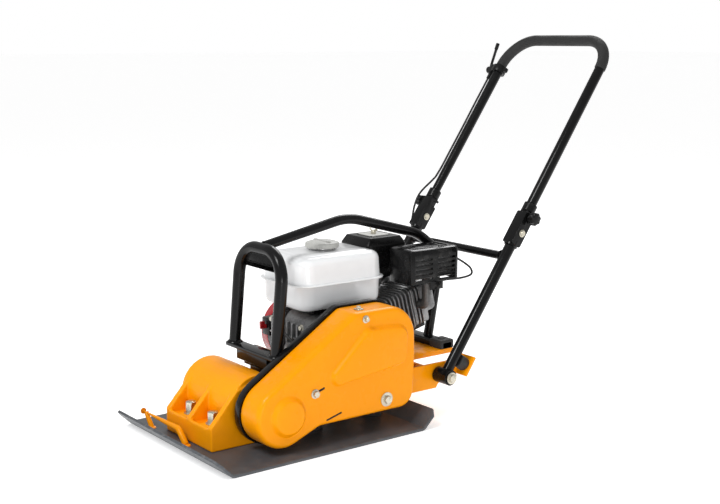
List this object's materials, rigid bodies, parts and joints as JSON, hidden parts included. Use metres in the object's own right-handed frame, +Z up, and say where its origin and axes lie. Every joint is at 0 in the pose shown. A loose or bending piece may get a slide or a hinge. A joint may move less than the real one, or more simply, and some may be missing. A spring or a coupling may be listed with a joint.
{
  "type": "plate compactor",
  "caption": "Walk-behind forward plate compactor: flat sole plate with turned-up ends, belt-driven exciter, sprung engine deck with tubular cage, and a folding looped handle.",
  "frame": {"origin": "centre of the base plate's flat underside", "axes": "+Z up, -Y the way the machine travels, +Y towards the handle, +X towards the belt cover"},
  "size_m": [0.42, 1.1213, 0.8195],
  "materials": {
    "yellow_paint": "gloss orange-yellow paint",
    "black_paint": "semi-gloss black powder coat",
    "plate_paint": "satin dark grey paint",
    "zinc_plate": "zinc plated",
    "steel": "machined",
    "iron": "cast, turned faces",
    "alloy": "die cast",
    "rubber": "matt black",
    "black_plastic": "moulded black",
    "grip_foam": "soft foam",
    "red_paint": "gloss red paint",
    "red_plastic": "moulded red",
    "tank_white": "gloss white",
    "cap_white": "off-white"
  },
  "bodies": {
    "base": {"base_plate": "plate_paint", "exciter_housing": "yellow_paint", "exciter_end_cover": "yellow_paint", "exciter_bearing_left": "steel", "exciter_bearing_right": "steel", "exciter_bolt_front_left": "zinc_plate", "exciter_bolt_front_right": "zinc_plate", "exciter_bolt_rear_left": "zinc_plate", "exciter_bolt_rear_right": "zinc_plate", "front_lift_bar": "yellow_paint", "rubber_mount_front_left": "rubber", "rubber_mount_front_right": "rubber", "rubber_mount_rear_left": "rubber", "rubber_mount_rear_right": "rubber", "v_belt": "rubber"},
    "exciter_rotor": {"eccentric_shaft": "steel", "driven_pulley": "iron"},
    "deck": {"engine_deck": "yellow_paint", "belt_cover": "yellow_paint", "belt_guard_back": "black_paint", "cage_hoop": "black_paint", "cage_spine": "black_paint", "cage_front_bracket": "black_paint", "crankcase": "alloy", "crankcase_side_cover": "alloy", "cylinder": "alloy", "rocker_cover": "alloy", "spark_plug_cap": "black_plastic", "fuel_tank": "tank_white", "tank_bracket": "black_paint", "muffler_guard": "black_paint", "muffler": "steel", "air_cleaner_base": "black_plastic", "air_cleaner_lid": "black_plastic", "carburettor": "alloy", "fan_housing": "black_plastic", "recoil_cover": "red_paint", "handle_pivot_shaft": "zinc_plate", "handle_stop_left": "rubber", "handle_stop_right": "rubber", "cable_engine": "rubber"},
    "crank": {"crankshaft": "steel", "flywheel_fan": "iron", "clutch_pulley": "steel"},
    "starter_grip": {"starter_grip": "black_plastic"},
    "fuel_cap": {"fuel_cap": "cap_white"},
    "engine_switch": {"engine_switch": "red_plastic"},
    "choke_lever": {"choke_lever": "black_plastic"},
    "throttle_arm": {"throttle_arm": "steel"},
    "air_cleaner_nut": {"air_cleaner_wing_nut": "steel"},
    "lower_handle": {"lower_handle": "black_paint", "cable_at_tilt": "rubber"},
    "upper_handle": {"upper_handle_tube": "black_paint", "handle_grip": "grip_foam", "throttle_clamp": "black_plastic", "cable_upper": "rubber", "cable_at_fold": "rubber"},
    "throttle_lever": {"throttle_lever": "black_plastic"},
    "lock_knob_left": {"lock_knob_left": "black_plastic"},
    "lock_knob_right": {"lock_knob_right": "black_plastic"}
  },
  "joints": [
    {"name": "deck_float", "type": "slide", "parent": "base", "child": "deck", "axis": [0, 0, 1], "range_m": [-0.003, 0.003], "stiffness_N_per_m": 230000, "springref_m": 0.00219, "deforming": ["rubber_mount_front_left", "rubber_mount_front_right", "rubber_mount_rear_left", "rubber_mount_rear_right", "v_belt"]},
    {"name": "exciter_spin", "type": "hinge", "parent": "base", "child": "exciter_rotor", "pos_m": [0, -0.092, 0.08], "axis": [1, 0, 0], "continuous": true},
    {"name": "crank_spin", "type": "hinge", "parent": "deck", "child": "crank", "pos_m": [0, 0.13, 0.173], "axis": [1, 0, 0], "continuous": true},
    {"name": "starter_pull", "type": "slide", "parent": "deck", "child": "starter_grip", "axis": [-0.501, 0.3006, 0.8116], "range_m": [0, 0.3], "stiffness_N_per_m": 40},
    {"name": "fuel_cap_turn", "type": "hinge", "parent": "deck", "child": "fuel_cap", "pos_m": [-0.04, 0.15, 0.375], "axis": [0, 0, 1], "range_deg": [0, 90]},
    {"name": "switch_turn", "type": "hinge", "parent": "deck", "child": "engine_switch", "pos_m": [-0.098, 0.03, 0.195], "axis": [0, 1, 0], "range_deg": [0, 60]},
    {"name": "choke_turn", "type": "hinge", "parent": "deck", "child": "choke_lever", "pos_m": [-0.108, 0.33, 0.262], "axis": [1, 0, 0], "range_deg": [-60, 0]},
    {"name": "throttle_arm_turn", "type": "hinge", "parent": "deck", "child": "throttle_arm", "pos_m": [-0.06, 0.351, 0.278], "axis": [1, 0, 0], "range_deg": [-35, 0]},
    {"name": "air_cleaner_nut_turn", "type": "hinge", "parent": "deck", "child": "air_cleaner_nut", "pos_m": [-0.0695, 0.314, 0.376], "axis": [0, 0, 1], "continuous": true},
    {"name": "handle_tilt", "type": "hinge", "parent": "deck", "child": "lower_handle", "pos_m": [0, 0.329, 0.092], "axis": [1, 0, 0], "range_deg": [0, 15], "deforming": ["cable_at_tilt"]},
    {"name": "handle_fold", "type": "hinge", "parent": "lower_handle", "child": "upper_handle", "pos_m": [0, 0.53833, 0.38612], "axis": [1, 0, 0], "range_deg": [-95, 0], "deforming": ["cable_at_fold"]},
    {"name": "lock_knob_left_turn", "type": "hinge", "parent": "upper_handle", "child": "lock_knob_left", "pos_m": [-0.19, 0.56094, 0.41789], "axis": [1, 0, 0], "continuous": true},
    {"name": "lock_knob_right_turn", "type": "hinge", "parent": "upper_handle", "child": "lock_knob_right", "pos_m": [0.19, 0.56094, 0.41789], "axis": [1, 0, 0], "continuous": true},
    {"name": "throttle_lever_turn", "type": "hinge", "parent": "upper_handle", "child": "throttle_lever", "pos_m": [-0.197, 0.78534, 0.73319], "axis": [1, 0, 0], "range_deg": [-50, 0]}
  ],
  "couplings": [
    {"joint": "exciter_spin", "follows": "crank_spin", "ratio": 1.3125},
    {"joint": "throttle_arm_turn", "follows": "throttle_lever_turn", "ratio": 0.6}
  ]
}
